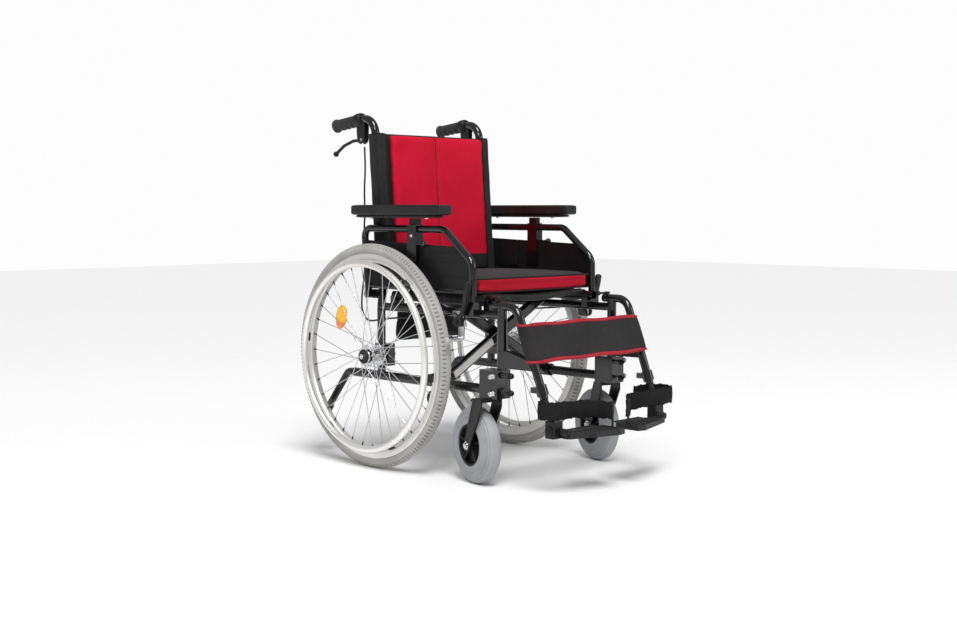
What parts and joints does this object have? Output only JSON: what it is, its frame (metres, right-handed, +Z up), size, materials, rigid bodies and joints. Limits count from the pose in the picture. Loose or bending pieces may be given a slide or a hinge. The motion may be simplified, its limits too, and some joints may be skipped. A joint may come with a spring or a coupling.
{
  "type": "manual wheelchair",
  "caption": "Folding self-propelled wheelchair with cross brace, flip-back armrests, swing-away leg rests, parking and attendant brakes and anti-tip rollers.",
  "frame": {"origin": "middle of the chair's box on the floor under it", "axes": "+Z up, the chair faces -Y, +X is the sitter's left, and every wheel axle is along X apart from the turned casters"},
  "size_m": [0.628, 0.995, 0.9676],
  "materials": {
    "frame_paint": "gloss black",
    "black_steel": "satin black",
    "steel": "bright plated",
    "alloy": "satin anodised",
    "tyre_grey": "matt light grey",
    "caster_grey": "satin grey",
    "black_plastic": "satin black",
    "grip_rubber": "matt dark grey",
    "pad_foam": "satin black skin",
    "red_mesh": "crimson mesh",
    "black_mesh": "charcoal mesh",
    "webbing": "black woven",
    "cable_cover": "black sheath"
  },
  "bodies": {
    "right_frame": {"right_frame": "frame_paint", "right_frame_hardware": "steel", "right_push_handle": "grip_rubber", "right_brake_cable": "cable_cover", "back_upholstery": "red_mesh", "under_seat_bag": "webbing"},
    "brace_a": {"brace_a": "frame_paint", "seat_sling": "webbing", "seat_cushion": "black_mesh"},
    "brace_b": {"brace_b": "frame_paint"},
    "left_frame": {"left_frame": "frame_paint", "left_frame_hardware": "steel", "left_push_handle": "grip_rubber", "left_brake_cable": "cable_cover"},
    "left_wheel": {"left_tyre": "tyre_grey", "left_rim": "alloy", "left_hub": "steel", "left_handrim": "alloy"},
    "left_axle_button": {"left_axle_button": "black_plastic"},
    "left_caster_fork": {"left_caster_fork": "frame_paint"},
    "left_caster_wheel": {"left_caster_tyre": "caster_grey", "left_caster_hub": "black_plastic"},
    "left_armrest": {"left_armrest_frame": "frame_paint", "left_skirt_guard": "black_plastic"},
    "left_armrest_pad": {"left_armrest_post": "black_steel", "left_armrest_pad": "pad_foam"},
    "left_park_brake": {"left_park_brake_lever": "black_plastic"},
    "left_brake_shoe": {"left_park_brake_shoe": "alloy"},
    "left_hanger": {"left_hanger": "frame_paint"},
    "left_hanger_latch": {"left_hanger_latch": "black_steel"},
    "left_leg_rest": {"left_leg_tube": "frame_paint", "left_heel_loop": "webbing"},
    "left_footplate": {"left_footplate": "black_plastic"},
    "left_attendant_lever": {"left_attendant_lever": "black_plastic"},
    "left_anti_tip": {"left_anti_tip": "frame_paint"},
    "left_anti_tip_roller": {"left_anti_tip_roller": "black_plastic"},
    "right_wheel": {"right_tyre": "tyre_grey", "right_rim": "alloy", "right_hub": "steel", "right_handrim": "alloy"},
    "right_axle_button": {"right_axle_button": "black_plastic"},
    "right_caster_fork": {"right_caster_fork": "frame_paint"},
    "right_caster_wheel": {"right_caster_tyre": "caster_grey", "right_caster_hub": "black_plastic"},
    "right_armrest": {"right_armrest_frame": "frame_paint", "right_skirt_guard": "black_plastic"},
    "right_armrest_pad": {"right_armrest_post": "black_steel", "right_armrest_pad": "pad_foam"},
    "right_park_brake": {"right_park_brake_lever": "black_plastic"},
    "right_brake_shoe": {"right_park_brake_shoe": "alloy"},
    "right_hanger": {"right_hanger": "frame_paint", "calf_strap": "black_mesh"},
    "right_hanger_latch": {"right_hanger_latch": "black_steel"},
    "right_leg_rest": {"right_leg_tube": "frame_paint", "right_heel_loop": "webbing"},
    "right_footplate": {"right_footplate": "black_plastic"},
    "right_attendant_lever": {"right_attendant_lever": "black_plastic"},
    "right_anti_tip": {"right_anti_tip": "frame_paint"},
    "right_anti_tip_roller": {"right_anti_tip_roller": "black_plastic"}
  },
  "joints": [
    {"name": "fold", "type": "hinge", "parent": "right_frame", "child": "brace_a", "pos_m": [-0.215, -0.0295, 0.245], "axis": [0, -1, 0], "range_deg": [0, 45], "deforming": ["seat_sling", "seat_cushion", "back_upholstery", "under_seat_bag", "calf_strap", "left_heel_loop", "right_heel_loop"]},
    {"name": "brace_cross", "type": "hinge", "parent": "brace_a", "child": "brace_b", "pos_m": [0, -0.0295, 0.36412], "axis": [0, -1, 0], "range_deg": [-91, 1]},
    {"name": "left_frame_pivot", "type": "hinge", "parent": "brace_b", "child": "left_frame", "pos_m": [0.215, -0.0295, 0.245], "axis": [0, -1, 0], "range_deg": [-1, 46]},
    {"name": "left_wheel_spin", "type": "hinge", "parent": "left_frame", "child": "left_wheel", "pos_m": [0.269, 0.1925, 0.305], "axis": [1, 0, 0], "continuous": true},
    {"name": "left_axle_button_push", "type": "slide", "parent": "left_frame", "child": "left_axle_button", "axis": [-1, 0, 0], "range_m": [0, 0.003], "stiffness_N_per_m": 400},
    {"name": "left_caster_swivel", "type": "hinge", "parent": "left_frame", "child": "left_caster_fork", "pos_m": [0.235, -0.21757, 0.228], "axis": [0, 0, 1], "continuous": true},
    {"name": "left_caster_spin", "type": "hinge", "parent": "left_caster_fork", "child": "left_caster_wheel", "pos_m": [0.25272, -0.16551, 0.1], "axis": [0.9466, -0.3223, 0], "continuous": true},
    {"name": "left_armrest_flip", "type": "hinge", "parent": "left_frame", "child": "left_armrest", "pos_m": [0.232, 0.2475, 0.47], "axis": [-1, 0, 0], "range_deg": [0, 65]},
    {"name": "left_armpad_height", "type": "slide", "parent": "left_armrest", "child": "left_armrest_pad", "axis": [0, 0, 1], "range_m": [0, 0.06]},
    {"name": "left_park_brake_lever", "type": "hinge", "parent": "left_frame", "child": "left_park_brake", "pos_m": [0.254, -0.12752, 0.416], "axis": [-1, 0, 0], "range_deg": [-35, 0]},
    {"name": "left_brake_shoe_press", "type": "hinge", "parent": "left_frame", "child": "left_brake_shoe", "pos_m": [0.254, -0.12752, 0.416], "axis": [-1, 0, 0], "range_deg": [-17, 1]},
    {"name": "left_hanger_swing", "type": "hinge", "parent": "left_frame", "child": "left_hanger", "pos_m": [0.215, -0.24757, 0.436], "axis": [0, 0, 1], "range_deg": [0, 90], "deforming": ["calf_strap"]},
    {"name": "left_hanger_release", "type": "hinge", "parent": "left_hanger", "child": "left_hanger_latch", "pos_m": [0.215, -0.23157, 0.472], "axis": [0, 0, 1], "range_deg": [0, 20], "stiffness_Nm_per_rad": 0.05},
    {"name": "left_leg_length", "type": "slide", "parent": "left_hanger", "child": "left_leg_rest", "axis": [-0.0277, -0.3696, -0.9288], "range_m": [-0.03, 0.05]},
    {"name": "left_footplate_flip", "type": "hinge", "parent": "left_leg_rest", "child": "left_footplate", "pos_m": [0.192, -0.4225, 0.16], "axis": [0, 1, 0], "range_deg": [-1, 91], "deforming": ["left_heel_loop"]},
    {"name": "left_attendant_brake", "type": "hinge", "parent": "left_frame", "child": "left_attendant_lever", "pos_m": [0.201, 0.3025, 0.894], "axis": [1, 0, 0], "range_deg": [0, 14], "stiffness_Nm_per_rad": 1},
    {"name": "left_anti_tip_turn", "type": "hinge", "parent": "left_frame", "child": "left_anti_tip", "pos_m": [0.215, 0.3585, 0.245], "axis": [0, 1, 0], "range_deg": [0, 180]},
    {"name": "left_anti_tip_roller_spin", "type": "hinge", "parent": "left_anti_tip", "child": "left_anti_tip_roller", "pos_m": [0.215, 0.46814, 0.11247], "axis": [1, 0, 0], "continuous": true},
    {"name": "right_wheel_spin", "type": "hinge", "parent": "right_frame", "child": "right_wheel", "pos_m": [-0.269, 0.1925, 0.305], "axis": [1, 0, 0], "continuous": true},
    {"name": "right_axle_button_push", "type": "slide", "parent": "right_frame", "child": "right_axle_button", "axis": [1, 0, 0], "range_m": [0, 0.003], "stiffness_N_per_m": 400},
    {"name": "right_caster_swivel", "type": "hinge", "parent": "right_frame", "child": "right_caster_fork", "pos_m": [-0.235, -0.21757, 0.228], "axis": [0, 0, 1], "continuous": true},
    {"name": "right_caster_spin", "type": "hinge", "parent": "right_caster_fork", "child": "right_caster_wheel", "pos_m": [-0.22169, -0.1642, 0.1], "axis": [0.9703, -0.2419, 0], "continuous": true},
    {"name": "right_armrest_flip", "type": "hinge", "parent": "right_frame", "child": "right_armrest", "pos_m": [-0.232, 0.2475, 0.47], "axis": [-1, 0, 0], "range_deg": [0, 65]},
    {"name": "right_armpad_height", "type": "slide", "parent": "right_armrest", "child": "right_armrest_pad", "axis": [0, 0, 1], "range_m": [0, 0.06]},
    {"name": "right_park_brake_lever", "type": "hinge", "parent": "right_frame", "child": "right_park_brake", "pos_m": [-0.254, -0.12752, 0.416], "axis": [-1, 0, 0], "range_deg": [-35, 0]},
    {"name": "right_brake_shoe_press", "type": "hinge", "parent": "right_frame", "child": "right_brake_shoe", "pos_m": [-0.254, -0.12752, 0.416], "axis": [-1, 0, 0], "range_deg": [-17, 1]},
    {"name": "right_hanger_swing", "type": "hinge", "parent": "right_frame", "child": "right_hanger", "pos_m": [-0.215, -0.24757, 0.436], "axis": [0, 0, -1], "range_deg": [0, 90], "deforming": ["calf_strap"]},
    {"name": "right_hanger_release", "type": "hinge", "parent": "right_hanger", "child": "right_hanger_latch", "pos_m": [-0.215, -0.23157, 0.472], "axis": [0, 0, -1], "range_deg": [0, 20], "stiffness_Nm_per_rad": 0.05},
    {"name": "right_leg_length", "type": "slide", "parent": "right_hanger", "child": "right_leg_rest", "axis": [0.0277, -0.3696, -0.9288], "range_m": [-0.03, 0.05]},
    {"name": "right_footplate_flip", "type": "hinge", "parent": "right_leg_rest", "child": "right_footplate", "pos_m": [-0.192, -0.4225, 0.16], "axis": [0, -1, 0], "range_deg": [-1, 91], "deforming": ["right_heel_loop"]},
    {"name": "right_attendant_brake", "type": "hinge", "parent": "right_frame", "child": "right_attendant_lever", "pos_m": [-0.201, 0.3025, 0.894], "axis": [1, 0, 0], "range_deg": [0, 14], "stiffness_Nm_per_rad": 1},
    {"name": "right_anti_tip_turn", "type": "hinge", "parent": "right_frame", "child": "right_anti_tip", "pos_m": [-0.215, 0.3585, 0.245], "axis": [0, -1, 0], "range_deg": [0, 180]},
    {"name": "right_anti_tip_roller_spin", "type": "hinge", "parent": "right_anti_tip", "child": "right_anti_tip_roller", "pos_m": [-0.215, 0.46814, 0.11247], "axis": [1, 0, 0], "continuous": true}
  ],
  "couplings": [
    {"joint": "brace_cross", "follows": "fold", "ratio": -2},
    {"joint": "left_frame_pivot", "follows": "fold", "ratio": 1},
    {"joint": "left_brake_shoe_press", "follows": "left_park_brake_lever", "ratio": 0.44},
    {"joint": "left_footplate_flip", "follows": "fold", "ratio": 2},
    {"joint": "right_brake_shoe_press", "follows": "right_park_brake_lever", "ratio": 0.44},
    {"joint": "right_footplate_flip", "follows": "fold", "ratio": 2}
  ]
}
